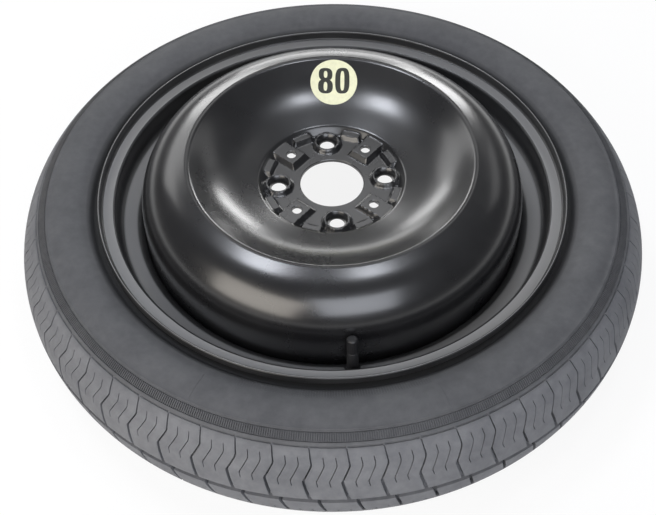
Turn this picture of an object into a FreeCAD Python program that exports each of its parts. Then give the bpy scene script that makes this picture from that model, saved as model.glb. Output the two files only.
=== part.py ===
"""Temporary spare wheel: a narrow tyre on a pressed steel wheel, with a snap-in valve and a round label.

Heights are worked out from the tyre's middle plane. Each finished solid is then lowered by the wheel's
offset, so that the hub's mounting face lies at z = 0, with the axle line on +Z and the outer side up.
Lengths are in millimetres and angles in degrees.
"""

import FreeCAD, Part
import math
import os

# Tyre
tyre_radius = 291.0
section_width = 125.0
widest_radius = 245.0
sidewall_root_radius = 222.5
sidewall_root_height = 57.0
band_radius = 263.0
band_height = 57.8
shoulder_radius = 272.0
shoulder_height = 50.0
crown_thickness = 11.0
sidewall_thickness = 5.5
bead_width = 17.0
bead_thickness = 11.0
heel_bend = 6.5
bead_gap = 0.15
flange_clearance = 1.6

# Tread
tread_pitches = 58
groove_depth = 4.5
centre_groove_width = 5.0
cross_groove_width = 2.4
cross_groove_end = 2.4
half_tread_shift = 0.38
zigzag_heights = (38.0, 24.0)
zigzag_swings = (0.0, 3.3, -3.2, 2.4)

# Rim
seat_radius = 202.8
rim_width = 101.6
rim_thickness = 2.4
flange_height = 14.2
flange_reach = 10.8
flange_bend = 6.0
seat_bend = 1.5
seat_length = 19.0
seat_taper = 5.0
ledge_slope = 11.0
ledge_bend = 7.0
well_bend = 5.0

# Wheel disc
wheel_offset = 58.5
disc_thickness = 3.5
skirt_depth = 12.0
skirt_gap = 0.05
crown_width = 45.5
crown_slope = 15.0
dome_bend = 48.0
ridge_rise = 38.0
ridge_bend = 6.0
knee_radius = 103.0
knee_rise = 17.5
knee_bend = 90.0
hub_edge_radius = 67.0
hub_edge_rise = 7.0
hub_bend = 3.8
hub_floor_radius = 60.0
hub_bore_diameter = 58.1

# Bolt seats and pin pads
bolt_circle = 98.0
bolt_count = 4
bolt_hole_diameter = 13.5
bolt_seat_diameter = 19.5
bolt_seat_angle = 60.0
boss_height = 4.5
boss_top_margin = 1.8
boss_flare = 3.2
pin_hole_diameter = 8.8
pad_width = 18.0
pad_height = 5.0
pad_flare = 2.6
pad_inner_radius = 38.5

# Weld beads
weld_count = 4
weld_angle = 46.0
weld_leg = 3.2

# Valve, along its own axis from the rim's upper surface
valve_angle = -90.0
valve_hole_diameter = 11.5
valve_margin = 0.3
bulb_margin = 1.0
bulb_radius = 8.2
bulb_length = 9.0
bulb_shoulder = 2.4
valve_squeeze_gap = 0.15
collar_radius = 6.2
collar_height = 4.0
neck_radius = 5.2
neck_top_radius = 4.7
neck_height = 22.0
stem_radius = 2.9
thread_radius = 3.85
stem_top = 34.5
stem_bore_radius = 1.9
core_bore_radius = 2.65
core_bore_depth = 12.0
core_seat_height = 1.6
bond_gap = 0.02

# Valve core
core_gap = 0.05
plug_height = 6.0
plug_sink = 1.4
bridge_width = 1.5
bridge_height = 2.2
barrel_radius = 1.5
barrel_wall = 0.35
barrel_length = 15.0
pin_radius = 0.45
pin_collar_radius = 1.0
pin_collar_length = 1.0
pin_sink = 0.3
cup_radius = 1.5
cup_height = 2.0
washer_height = 0.8
spring_wire_radius = 0.14
spring_turns = 6.0
spring_length = 8.0
pin_travel = 1.2

# Valve cap
cap_radius = 4.8
cap_wall = 0.85
cap_top_thickness = 1.6
cap_seat_gap = 0.3
cap_tip_gap = 0.6
cap_chamfer = 1.0
cap_flutes = 16
flute_radius = 0.5

# Label
label_diameter = 45.0
label_radius = 108.5
label_angle = 83.6
label_lean = 30.0
label_thickness = 0.2
label_gap = 0.15

UP = FreeCAD.Vector(0, 0, 1)
ORIGIN = FreeCAD.Vector(0, 0, 0)
half_rim = rim_thickness / 2
half_width = rim_width / 2
hub_floor = wheel_offset + disc_thickness
flange_radius = seat_radius + flange_height


def point(radius, height):
    """A point of a section, which lies in the plane of X and Z."""
    return FreeCAD.Vector(radius, 0, height)


def line(start, end):
    return Part.LineSegment(start, end).toShape()


def arc(start, middle, end):
    return Part.Arc(start, middle, end).toShape()


def revolved(edges, angle=360.0):
    """The solid that a closed section sweeps about the axle line."""
    face = Part.Face(Part.Wire(edges))
    return face.revolve(ORIGIN, UP, angle)


def turned_copy(shape, angle):
    copy = shape.copy()
    copy.rotate(ORIGIN, UP, angle)
    return copy


def ring_of(shape, count, start=0.0):
    """Copies of a shape spaced evenly round the axle line."""
    return [turned_copy(shape, start + 360.0 * index / count) for index in range(count)]


def left_of(direction):
    """The direction turned by a quarter, seen with X to the right and Z up."""
    return FreeCAD.Vector(-direction.z, 0, direction.x)


def bend_lengths(runs, slopes, bends):
    """Length that each bend takes from its runs, shrunk where two bends would need more than their run."""
    lengths = [0.0] + [bend * slope for bend, slope in zip(bends, slopes)] + [0.0]
    for index, run in enumerate(runs):
        share = 0.98 * run.Length / max(lengths[index] + lengths[index + 1], 1e-9)
        if share < 1.0:
            lengths[index] *= share
            lengths[index + 1] *= share
    return lengths


def bent_path(corners, offset):
    """Edges of a line that runs through (radius, height, bend) corners, moved to its left by offset.

    Each bend is the radius of the line itself, limited to what its two runs leave room for.
    """
    spots = [point(radius, height) for radius, height, bend in corners]
    runs = [(end - start) for start, end in zip(spots, spots[1:])]
    ways = [FreeCAD.Vector(run).normalize() for run in runs]
    turns = [
        math.atan2(before.x * after.z - before.z * after.x, before * after)
        for before, after in zip(ways, ways[1:])
    ]
    slopes = [math.tan(abs(turn) / 2) for turn in turns]
    lengths = bend_lengths(runs, slopes, [bend for radius, height, bend in corners[1:-1]])
    edges = []
    here = spots[0] + left_of(ways[0]) * offset
    for index in range(1, len(spots) - 1):
        before, after = ways[index - 1], ways[index]
        side = math.copysign(1.0, turns[index - 1])
        bend = lengths[index] / slopes[index - 1]
        start = spots[index] - before * lengths[index]
        end = spots[index] + after * lengths[index]
        centre = start + left_of(before) * (side * bend)
        across = (spots[index] - centre).normalize()
        reach = bend - side * offset
        first = start + left_of(before) * offset
        last = end + left_of(after) * offset
        edges.append(line(here, first))
        edges.append(arc(first, centre + across * reach, last))
        here = last
    edges.append(line(here, spots[-1] + left_of(ways[-1]) * offset))
    return edges


def band(corners, low, high):
    """Closed section of a sheet that follows a bent line, from offset low to offset high."""
    near = bent_path(corners, low)
    far = bent_path(corners, high)
    start = line(near[0].Vertexes[0].Point, far[0].Vertexes[0].Point)
    end = line(near[-1].Vertexes[-1].Point, far[-1].Vertexes[-1].Point)
    return near + [end] + far[::-1] + [start]


def seat_radius_at(height):
    """Outer radius of the tapered bead seat."""
    return seat_radius - (half_width - height) * math.tan(math.radians(seat_taper))


# Places that several pieces share
seat_end = half_width - seat_length
ledge_outer_radius = seat_radius_at(seat_end)
ledge_fillet = ledge_bend - half_rim
valve_radius = ledge_outer_radius - rim_thickness - ledge_fillet - valve_margin - collar_radius
well_radius = valve_radius - bulb_radius - bulb_margin
well_inner_radius = well_radius - rim_thickness
skirt_radius = well_inner_radius - skirt_gap
ridge_radius = skirt_radius - crown_width
ridge_height = hub_floor + ridge_rise
skirt_bottom = -skirt_depth
ledge_drop = (ledge_outer_radius - well_radius) * math.tan(math.radians(ledge_slope))


def rim_corners():
    """Middle line of the rim's sheet, from the outer lip to the inner lip."""
    upper = [
        (flange_radius - half_rim, half_width + flange_reach, 0.0),
        (flange_radius - half_rim, half_width + half_rim, flange_bend),
        (seat_radius - half_rim, half_width + half_rim, seat_bend + half_rim),
        (ledge_outer_radius - half_rim, seat_end, ledge_bend),
        (well_radius - half_rim, seat_end - ledge_drop, well_bend),
    ]
    lower = [(radius, -height, bend) for radius, height, bend in reversed(upper)]
    return upper + lower


def valve_base():
    """Middle of the valve hole on the ledge's upper surface, in the section plane."""
    drop = (ledge_outer_radius - half_rim - valve_radius) * math.tan(math.radians(ledge_slope))
    rise = half_rim / math.cos(math.radians(ledge_slope))
    return point(valve_radius, seat_end - drop + rise)


def on_valve(shape):
    """A shape made along +Z moved to the valve's place, leaning in square to the ledge."""
    base = valve_base()
    shape.rotate(ORIGIN, FreeCAD.Vector(0, 1, 0), -ledge_slope)
    shape.translate(base)
    shape.rotate(ORIGIN, UP, valve_angle)
    return shape


def rim():
    """Rolled rim: curled flanges, tapered bead seats, ledges and a deep well, pierced for the valve."""
    body = revolved(band(rim_corners(), -half_rim, half_rim))
    depth = 4 * rim_thickness
    hole = Part.makeCylinder(valve_hole_diameter / 2, depth, point(0, -depth / 2))
    return body.cut(on_valve(hole))


def disc_corners():
    """Outer surface of the pressed disc, from the skirt's edge to the hub's bore."""
    crown_rise = crown_width * math.tan(math.radians(crown_slope))
    return [
        (skirt_radius, skirt_bottom, 0.0),
        (skirt_radius, ridge_height - crown_rise, dome_bend),
        (ridge_radius, ridge_height, ridge_bend),
        (knee_radius, hub_floor + knee_rise, knee_bend),
        (hub_edge_radius, hub_floor + hub_edge_rise, hub_bend),
        (hub_floor_radius, hub_floor, hub_bend),
        (hub_bore_diameter / 2, hub_floor, 0.0),
    ]


def bolt_boss():
    """Raised seat round one bolt hole, at angle zero."""
    top = bolt_seat_diameter / 2 + boss_top_margin
    middle = point(bolt_circle / 2, hub_floor - disc_thickness / 2)
    height = boss_height + disc_thickness / 2
    return Part.makeCone(top + boss_flare, top, height, middle)


def bolt_hole():
    """Round hole with a tapered seat that opens upwards, at angle zero."""
    hole_radius = bolt_hole_diameter / 2
    seat = bolt_seat_diameter / 2
    slope = math.tan(math.radians(bolt_seat_angle / 2))
    top = hub_floor + boss_height
    seat_depth = (seat - hole_radius) / slope
    through = Part.makeCylinder(hole_radius, top - wheel_offset + 2, point(bolt_circle / 2, wheel_offset - 1))
    mouth = Part.makeCone(hole_radius, seat + slope, seat_depth + 1, point(bolt_circle / 2, top - seat_depth))
    return through.fuse(mouth)


def pad_block(inset, base, top):
    """Tapered block of one pin pad at angle zero, drawn in by inset on its sides and inner end."""

    def outline(height, flare):
        half = pad_width / 2 + flare - inset
        inner = pad_inner_radius - flare + inset
        outer = hub_floor_radius + (hub_edge_radius - hub_floor_radius) * 0.8 - inset
        return Part.makePolygon(
            [
                FreeCAD.Vector(inner, -half, height),
                FreeCAD.Vector(outer, -half, height),
                FreeCAD.Vector(outer, half, height),
                FreeCAD.Vector(inner, half, height),
                FreeCAD.Vector(inner, -half, height),
            ]
        )

    return Part.makeLoft([outline(base, pad_flare), outline(top, 0.0)], True, True)


def wheel_disc():
    """Pressed disc: skirt, dome, ridge and dish, with raised bolt seats and pin pads round the bore."""
    sheet = revolved(band(disc_corners(), 0.0, disc_thickness))
    half_pitch = 180.0 / bolt_count
    bosses = ring_of(bolt_boss(), bolt_count)
    pads = ring_of(pad_block(0.0, hub_floor - disc_thickness / 2, hub_floor + pad_height), bolt_count, half_pitch)
    pressed = sheet.multiFuse(bosses + pads)
    under = pad_block(disc_thickness, wheel_offset - 1, hub_floor + pad_height - disc_thickness)
    hollows = ring_of(under, bolt_count, half_pitch)
    pin_hole = Part.makeCylinder(
        pin_hole_diameter / 2,
        pad_height + 2 * disc_thickness,
        point(bolt_circle / 2, wheel_offset),
    )
    holes = ring_of(bolt_hole(), bolt_count) + ring_of(pin_hole, bolt_count, half_pitch)
    return pressed.cut(Part.makeCompound(hollows)).cut(Part.makeCompound(holes)).removeSplitter()


def weld_beads():
    """Fillet welds between the skirt's lower edge and the rim's well."""
    corner = point(well_inner_radius, skirt_bottom)
    inner = point(well_inner_radius - weld_leg, skirt_bottom)
    lower = point(well_inner_radius, skirt_bottom - weld_leg)
    bulge = (inner + lower) * 0.5 + point(-0.08 * weld_leg, -0.08 * weld_leg)
    bead = revolved([line(corner, inner), arc(inner, bulge, lower), line(lower, corner)], weld_angle)
    return Part.makeCompound(ring_of(bead, weld_count, -weld_angle / 2))


def circle_radius(rise, half_chord):
    """Radius of the circle that rises by that much over half a chord."""
    return (half_chord**2 + rise**2) / (2 * rise)


crown_arc_radius = circle_radius(tyre_radius - shoulder_radius, shoulder_height)


def crown_spot(height, depth=0.0):
    """Point of the tread's crown arc at a height, or of a parallel arc that lies deeper."""
    middle = tyre_radius - crown_arc_radius
    return point(middle + math.sqrt((crown_arc_radius - depth) ** 2 - height**2), height)


def sidewall_spot(radius):
    """Point of the upper sidewall: two arcs that meet at the widest place."""
    widest = section_width / 2
    edge_radius, edge_height = sidewall_root_radius, sidewall_root_height
    if radius > widest_radius:
        edge_radius, edge_height = band_radius, band_height
    bend = circle_radius(widest - edge_height, abs(edge_radius - widest_radius))
    return point(radius, widest - bend + math.sqrt(bend**2 - (radius - widest_radius) ** 2))


def mirrored(spot):
    return FreeCAD.Vector(spot.x, spot.y, -spot.z)


def half_outline():
    """Upper half of the tyre's outline as a chain of (start, middle or None, end), toe to crown."""
    heel_height = half_width - bead_gap
    toe = point(seat_radius_at(half_width - bead_width) + bead_gap, half_width - bead_width)
    heel_low = point(seat_radius_at(heel_height - heel_bend) + bead_gap, heel_height - heel_bend)
    heel_high = point(seat_radius + bead_gap + heel_bend, heel_height)
    slant = heel_bend * (1 - math.sqrt(0.5))
    heel_middle = point(heel_low.x + slant, heel_height - slant)
    clinch = point(flange_radius + flange_clearance, half_width + flange_clearance / 2)
    root = sidewall_spot(sidewall_root_radius)
    widest = sidewall_spot(widest_radius)
    band_edge = sidewall_spot(band_radius)
    shoulder = crown_spot(shoulder_height)
    swell = point(
        (band_edge.x + shoulder.x) / 2 + 0.6,
        (band_edge.z + shoulder.z) / 2 + 0.6,
    )
    groove = crown_spot(centre_groove_width / 2)
    floor = crown_spot(centre_groove_width / 2, groove_depth)
    return [
        (toe, None, heel_low),
        (heel_low, heel_middle, heel_high),
        (heel_high, None, clinch),
        (clinch, None, root),
        (root, sidewall_spot((sidewall_root_radius + widest_radius) / 2), widest),
        (widest, sidewall_spot((widest_radius + band_radius) / 2), band_edge),
        (band_edge, swell, shoulder),
        (shoulder, crown_spot(shoulder_height / 2), groove),
        (groove, None, floor),
    ]


def cavity_spots():
    """Upper half of the tyre's inner surface, from the toe to the crown."""
    toe = point(seat_radius_at(half_width - bead_width) + bead_gap, half_width - bead_width)
    bead = point(seat_radius + bead_thickness, half_width - bead_thickness)
    flank = point(widest_radius, section_width / 2 - sidewall_thickness)
    shoulder = point(shoulder_radius - crown_thickness, shoulder_height - crown_thickness / 2)
    crown = point(tyre_radius - crown_thickness, 0)
    return toe, bead, flank, shoulder, crown


def cross_groove():
    """One zigzag groove of the upper half tread, at angle zero, as deep as the tread's pattern."""
    heights = (shoulder_height + groove_depth, *zigzag_heights, cross_groove_end)
    half = cross_groove_width / 2
    deep = shoulder_radius - 3 * groove_depth
    one_side = [FreeCAD.Vector(deep, swing - half, z) for swing, z in zip(zigzag_swings, heights)]
    other_side = [FreeCAD.Vector(deep, swing + half, z) for swing, z in zip(zigzag_swings, heights)]
    outline = Part.makePolygon(one_side + other_side[::-1] + one_side[:1])
    prism = Part.Face(outline).extrude(FreeCAD.Vector(tyre_radius, 0, 0))
    top = shoulder_height
    section = [
        line(crown_spot(0), crown_spot(0, groove_depth)),
        arc(crown_spot(0, groove_depth), crown_spot(top / 2, groove_depth), crown_spot(top, groove_depth)),
        line(crown_spot(top, groove_depth), crown_spot(top, -groove_depth)),
        arc(crown_spot(top, -groove_depth), crown_spot(top / 2, -groove_depth), crown_spot(0, -groove_depth)),
        line(crown_spot(0, -groove_depth), crown_spot(0)),
    ]
    wide = 90.0 / tread_pitches
    skin = turned_copy(revolved(section, 4 * wide), -2 * wide)
    return prism.common(skin)


def tyre():
    """Hollow tyre with its beads, a centre groove and zigzag cross grooves on both halves of the tread."""
    upper = half_outline()
    edges = []
    for start, middle, end in upper:
        for side in (FreeCAD.Vector, mirrored):
            if middle is None:
                edges.append(line(side(start), side(end)))
            else:
                edges.append(arc(side(start), side(middle), side(end)))
    floor = upper[-1][2]
    edges.append(line(floor, mirrored(floor)))
    toe, bead, flank, shoulder, crown = cavity_spots()
    inside = Part.BSplineCurve()
    inside.interpolate([bead, flank, shoulder, crown] + [mirrored(spot) for spot in (shoulder, flank, bead)])
    edges.append(line(toe, bead))
    edges.append(inside.toShape())
    edges.append(line(mirrored(bead), mirrored(toe)))
    body = revolved(Part.sortEdges(edges)[0])
    pitch = 360.0 / tread_pitches
    upper_groove = cross_groove()
    lower_groove = upper_groove.copy()
    lower_groove.rotate(ORIGIN, FreeCAD.Vector(1, 0, 0), 180)
    grooves = ring_of(upper_groove, tread_pitches)
    grooves += ring_of(lower_groove, tread_pitches, half_tread_shift * pitch)
    return body.cut(Part.makeCompound(grooves))


def lathe(spots):
    """Solid turned about +Z from (radius, height) corners."""
    corners = [point(radius, height) for radius, height in spots]
    edges = [line(start, end) for start, end in zip(corners, corners[1:] + corners[:1])]
    return revolved(edges)


# Heights along the valve's own axis
core_bore_bottom = stem_top - core_bore_depth
core_seat_bottom = core_bore_bottom - core_seat_height
plug_top = stem_top - plug_sink
plug_bottom = plug_top - plug_height
barrel_top = plug_bottom
barrel_bottom = barrel_top - barrel_length
barrel_bore = barrel_radius - barrel_wall
pin_top = stem_top - pin_sink
spring_bottom = barrel_bottom + 2 * barrel_wall
spring_top = spring_bottom + spring_length
stem_bottom = -rim_thickness - bulb_length + barrel_wall
cap_bottom = neck_height + cap_seat_gap
cap_bore_top = stem_top + cap_tip_gap


def valve_body():
    """Moulded rubber of the snap-in valve: bulb under the rim, waist in the hole, collar and tapered neck."""
    waist = valve_hole_diameter / 2 - valve_squeeze_gap
    under = -rim_thickness - valve_squeeze_gap
    over = valve_squeeze_gap
    bulb_taper = bulb_length / 3
    bore = stem_radius + bond_gap
    return lathe(
        [
            (bore, under - bulb_length),
            (bulb_radius - bulb_taper, under - bulb_length),
            (bulb_radius, under - bulb_taper),
            (bulb_radius - bulb_shoulder, under),
            (waist, under),
            (waist, over),
            (collar_radius, over),
            (collar_radius, over + collar_height / 2),
            (neck_radius, over + collar_height),
            (neck_top_radius, neck_height),
            (bore, neck_height),
        ]
    )


def valve_stem():
    """Brass tube bonded in the rubber, stepped inside for the valve core, with its threaded end on top."""
    return lathe(
        [
            (stem_bore_radius, stem_bottom),
            (stem_radius, stem_bottom),
            (stem_radius, neck_height + bond_gap),
            (thread_radius, neck_height + bond_gap + thread_radius - stem_radius),
            (thread_radius, stem_top - 0.5),
            (thread_radius - 0.5, stem_top),
            (core_bore_radius, stem_top),
            (core_bore_radius, core_bore_bottom),
            (stem_bore_radius, core_seat_bottom),
        ]
    )


def core_plug():
    """Threaded top of the valve core, cut away to a bridge that a key turns."""
    outer = core_bore_radius - core_gap
    bore = pin_radius + core_gap
    body = lathe([(bore, plug_bottom), (outer, plug_bottom), (outer, plug_top), (bore, plug_top)])
    cut = Part.makeBox(2 * outer, outer, bridge_height)
    cut.translate(FreeCAD.Vector(-outer, bridge_width / 2, plug_top - bridge_height))
    return body.cut(cut).cut(turned_copy(cut, 180))


def core_barrel():
    """Thin tube below the plug, closed to the pin at its foot, which the spring stands on."""
    bore = pin_radius + core_gap
    foot = barrel_bottom + barrel_wall
    return lathe(
        [
            (bore, barrel_bottom),
            (barrel_radius, barrel_bottom),
            (barrel_radius, barrel_top),
            (barrel_bore, barrel_top),
            (barrel_bore, foot),
            (bore, foot),
        ]
    )


def core_gasket():
    """Tapered ring on the barrel that seals against the stem's inner seat."""
    inner = barrel_radius + bond_gap
    lean = (core_bore_radius - stem_bore_radius) / core_seat_height
    low = core_seat_bottom + core_seat_height / 2
    low_radius = stem_bore_radius + lean * (low - core_seat_bottom) - core_gap
    return lathe(
        [
            (inner, low),
            (low_radius, low),
            (core_bore_radius - core_gap, core_bore_bottom),
            (core_bore_radius - core_gap, core_bore_bottom + core_seat_height),
            (inner, core_bore_bottom + core_seat_height),
        ]
    )


def core_pin():
    """Long pin with the collar that the spring lifts and the cup that carries the seal at its foot."""
    cup_top = barrel_bottom - washer_height - core_gap
    cup_bottom = cup_top - cup_height
    collar_bottom = spring_top + spring_wire_radius
    collar_top = collar_bottom + pin_collar_length
    return lathe(
        [
            (0, cup_bottom),
            (cup_radius, cup_bottom),
            (cup_radius, cup_top),
            (pin_radius, cup_top),
            (pin_radius, collar_bottom),
            (pin_collar_radius, collar_bottom),
            (pin_collar_radius, collar_top),
            (pin_radius, collar_top),
            (pin_radius, pin_top),
            (0, pin_top),
        ]
    )


def core_washer():
    """Rubber washer on the cup, which the spring draws up against the barrel's foot."""
    top = barrel_bottom - core_gap
    inner = pin_radius + bond_gap
    return lathe([(inner, top - washer_height), (cup_radius, top - washer_height), (cup_radius, top), (inner, top)])


def core_spring():
    """Coil spring between the barrel's foot and the pin's collar."""
    coil_radius = (barrel_bore + pin_radius) / 2
    low = barrel_bottom + barrel_wall + spring_wire_radius + bond_gap
    length = spring_top - low - bond_gap
    helix = Part.makeHelix(length / spring_turns, length, coil_radius)
    helix.translate(point(0, low))
    wire = Part.Wire(Part.makeCircle(spring_wire_radius, point(coil_radius, low), FreeCAD.Vector(0, 1, 0)))
    return Part.Wire(helix).makePipeShell([wire], True, True)


def valve_cap():
    """Fluted plastic cap over the stem's thread."""
    bore = cap_radius - cap_wall
    top = cap_bore_top + cap_top_thickness
    shell = lathe(
        [
            (bore, cap_bottom),
            (cap_radius, cap_bottom),
            (cap_radius, top - cap_chamfer),
            (cap_radius - cap_chamfer, top),
            (0, top),
            (0, cap_bore_top),
            (bore, cap_bore_top),
        ]
    )
    flute_length = top - 2 * cap_chamfer - cap_bottom
    flute = Part.makeCylinder(flute_radius, flute_length, point(cap_radius + flute_radius / 3, cap_bottom))
    return shell.cut(Part.makeCompound(ring_of(flute, cap_flutes)))


def speed_label():
    """Thin round label that lies on the dish's slope."""
    skin = revolved(band(disc_corners()[1:6], -label_gap, -label_gap - label_thickness))
    run = ridge_radius - knee_radius
    height = hub_floor + knee_rise + (label_radius - knee_radius) * (ridge_rise - knee_rise) / run
    punch = Part.makeCylinder(label_diameter / 2, 2 * label_diameter / 3, point(0, -label_diameter / 3))
    punch.rotate(ORIGIN, FreeCAD.Vector(0, 1, 0), -label_lean)
    punch.translate(point(label_radius, height))
    return turned_copy(skin.common(punch), label_angle)


def main():
    pieces = {
        "tyre": tyre(),
        "rim": rim(),
        "wheel_disc": wheel_disc(),
        "weld_beads": weld_beads(),
        "valve_body": on_valve(valve_body()),
        "valve_stem": on_valve(valve_stem()),
        "core_plug": on_valve(core_plug()),
        "core_barrel": on_valve(core_barrel()),
        "core_gasket": on_valve(core_gasket()),
        "core_pin": on_valve(core_pin()),
        "core_washer": on_valve(core_washer()),
        "core_spring": on_valve(core_spring()),
        "valve_cap": on_valve(valve_cap()),
        "speed_label": speed_label(),
    }
    os.makedirs("parts", exist_ok=True)
    for name, shape in pieces.items():
        shape.translate(UP * -wheel_offset)
        shape.exportStep(f"parts/{name}.step")
        print(name, len(shape.Solids), "solids, volume", round(shape.Volume), "valid", shape.isValid())


main()
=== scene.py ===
"""Dressed spare wheel: a narrow tyre on a pressed steel wheel, with its valve and label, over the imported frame.

Sections are worked out in millimetres, with heights from the tyre's middle plane, and each mesh is then put into
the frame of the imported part: metres, with the hub's mounting face at z = 0.
"""

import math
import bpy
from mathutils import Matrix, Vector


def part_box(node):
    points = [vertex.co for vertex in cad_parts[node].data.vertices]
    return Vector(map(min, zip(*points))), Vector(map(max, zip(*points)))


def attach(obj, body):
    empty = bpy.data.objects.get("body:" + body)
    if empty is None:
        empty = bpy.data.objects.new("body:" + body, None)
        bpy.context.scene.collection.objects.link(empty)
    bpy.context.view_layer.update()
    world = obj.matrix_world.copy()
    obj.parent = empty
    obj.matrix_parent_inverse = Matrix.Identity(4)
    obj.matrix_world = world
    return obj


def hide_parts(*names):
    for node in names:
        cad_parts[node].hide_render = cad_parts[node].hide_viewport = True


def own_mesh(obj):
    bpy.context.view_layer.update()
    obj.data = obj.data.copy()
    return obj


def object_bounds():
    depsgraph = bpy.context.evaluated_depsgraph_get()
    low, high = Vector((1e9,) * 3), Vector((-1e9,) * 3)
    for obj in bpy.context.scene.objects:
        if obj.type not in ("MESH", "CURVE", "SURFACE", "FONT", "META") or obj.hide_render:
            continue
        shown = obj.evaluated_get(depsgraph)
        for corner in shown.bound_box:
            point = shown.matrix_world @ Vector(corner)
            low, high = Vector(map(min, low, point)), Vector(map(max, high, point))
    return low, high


bl_info = {
    "name": "Spare wheel",
    "version": (1, 0, 0),
    "blender": (4, 5, 0),
    "location": "View3D > Sidebar > Spare wheel",
    "description": "Builds a temporary spare wheel as numpy surfaces over its packed frame",
    "category": "Object",
}

import bmesh
import bpy
import numpy as np
from bpy.props import FloatProperty, FloatVectorProperty, IntProperty, PointerProperty
from mathutils import Matrix, Vector

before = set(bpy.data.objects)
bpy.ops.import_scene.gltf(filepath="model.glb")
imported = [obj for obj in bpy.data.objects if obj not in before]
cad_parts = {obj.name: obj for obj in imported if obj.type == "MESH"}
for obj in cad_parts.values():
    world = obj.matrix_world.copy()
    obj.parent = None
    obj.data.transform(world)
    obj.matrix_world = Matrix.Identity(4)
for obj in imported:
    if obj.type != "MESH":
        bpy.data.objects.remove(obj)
CAD_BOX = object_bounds()

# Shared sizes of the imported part, in millimetres
HUB_PLANE = 58.5
SEAT_RADIUS = 202.8
HALF_RIM_WIDTH = 50.8
RIM_SHEET = 2.4
DISC_SHEET = 3.5
HUB_FLOOR = HUB_PLANE + DISC_SHEET
BOLT_CIRCLE_RADIUS = 49.0
VALVE_LEAN = math.radians(11.0)
LEDGE_RADIUS = SEAT_RADIUS - 19.0 * math.tan(math.radians(5.0))
LEDGE_HEIGHT = HALF_RIM_WIDTH - 19.0
VALVE_RADIUS = LEDGE_RADIUS - 14.7
WELL_RADIUS = VALVE_RADIUS - 9.2
SKIRT_RADIUS = WELL_RADIUS - RIM_SHEET - 0.05
CROWN_WIDTH = 45.5
RIDGE_RADIUS = SKIRT_RADIUS - CROWN_WIDTH
VALVE_BASE_HEIGHT = LEDGE_HEIGHT - 13.5 * math.tan(VALVE_LEAN) + 1.2 / math.cos(VALVE_LEAN)
SPRING_FOOT = 12.45
SPRING_TURNS = 6.0
LABEL_RADIUS = 109.3
LABEL_ANGLE = math.radians(83.6)


def linear(hex_colour):
    """A colour written as sRGB hex, as the linear red, green and blue that a shader takes."""
    shares = np.array([int(hex_colour[k : k + 2], 16) for k in (0, 2, 4)]) / 255.0
    bright = ((shares + 0.055) / 1.055) ** 2.4
    return tuple(np.where(shares <= 0.04045, shares / 12.92, bright))


def length(name, description, default):
    return FloatProperty(name=name, description=description, default=default, unit="LENGTH", subtype="DISTANCE", precision=5)


def colour(name, description, hex_colour):
    return FloatVectorProperty(name=name, description=description, default=linear(hex_colour), subtype="COLOR", size=3)


class TyreSettings(bpy.types.PropertyGroup):
    """Sizes and colours of the tyre."""

    radius: length("Radius", "Outer radius of the tread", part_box("tyre")[1].x)
    pitches: IntProperty(name="Pitches", description="Blocks round each half of the tread", default=58, min=16)
    groove_depth: length("Groove depth", "Depth of the tread's grooves", 0.0045)
    sipe_depth: length("Sipe depth", "Depth of the fine cuts in each block", 0.0022)
    ribs: IntProperty(name="Ribs", description="Fine ribs round the shoulder band", default=900, min=60)
    rubber: colour("Rubber", "Colour of the cured rubber", "58595D")
    dust: colour("Dust", "Colour of the paler, dusty rubber", "6E6F72")


class WheelSettings(bpy.types.PropertyGroup):
    """Sizes and colours of the rim and the disc."""

    bolt_hole: length("Bolt hole", "Radius of the bolt holes", 0.00675)
    pin_hole: length("Pin hole", "Radius of the small holes in the pads", 0.0044)
    bore: length("Bore", "Radius of the hub's bore", 0.02905)
    paint: colour("Paint", "Colour of the disc's black dip coat", "131315")
    haze: colour("Haze", "Colour of the disc's coat where it is thin and dusty", "1F1F20")
    rim_paint: colour("Rim paint", "Colour of the rim's dull coat", "202021")
    rim_haze: colour("Rim haze", "Colour of the rim's coat where it is thin", "303031")
    dust: colour("Dust", "Colour of the dust on the hub's level faces", "363637")
    rim_dust: colour("Rim dust", "Colour of the dust on the rim's level faces", "767676")


class ValveSettings(bpy.types.PropertyGroup):
    """Sizes and colours of the valve."""

    flutes: IntProperty(name="Flutes", description="Grip flutes round the cap", default=16, min=6)
    rubber: colour("Rubber", "Colour of the valve's rubber", "222224")
    cap: colour("Cap", "Colour of the plastic cap", "1E1E20")
    brass: colour("Brass", "Colour of the stem and the core", "B9974E")
    seal: colour("Seal", "Colour of the core's seals", "7A2A26")
    steel: colour("Steel", "Colour of the core's spring", "9A9A9C")


class LabelSettings(bpy.types.PropertyGroup):
    """Sizes and colours of the round label."""

    radius: length("Radius", "Radius of the label", 0.0225)
    sheet: colour("Sheet", "Colour of the label's sheet", "E0E0BE")
    ink: colour("Ink", "Colour of the printed number", "22241A")


class StageSettings(bpy.types.PropertyGroup):
    """Camera, lamps and floor."""

    lens: FloatProperty(name="Lens", description="Focal length on a 36 mm wide sensor", default=63.44, unit="CAMERA")
    distance: length("Distance", "From the tyre's middle to the camera", 1.110)
    elevation: FloatProperty(name="Elevation", description="Height of the camera as an angle", default=math.radians(49.09), subtype="ANGLE")
    pitch: FloatProperty(name="Pitch", description="How far the camera looks down", default=math.radians(50.62), subtype="ANGLE")
    roll: FloatProperty(name="Roll", description="Turn of the camera about its own line of sight", default=math.radians(-0.93), subtype="ANGLE")
    turn: FloatProperty(name="Turn", description="Turn of the camera round the wheel", default=math.radians(-4.5), subtype="ANGLE")
    aside: length("Aside", "Shift of the camera to its left", 0.0047)


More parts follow.
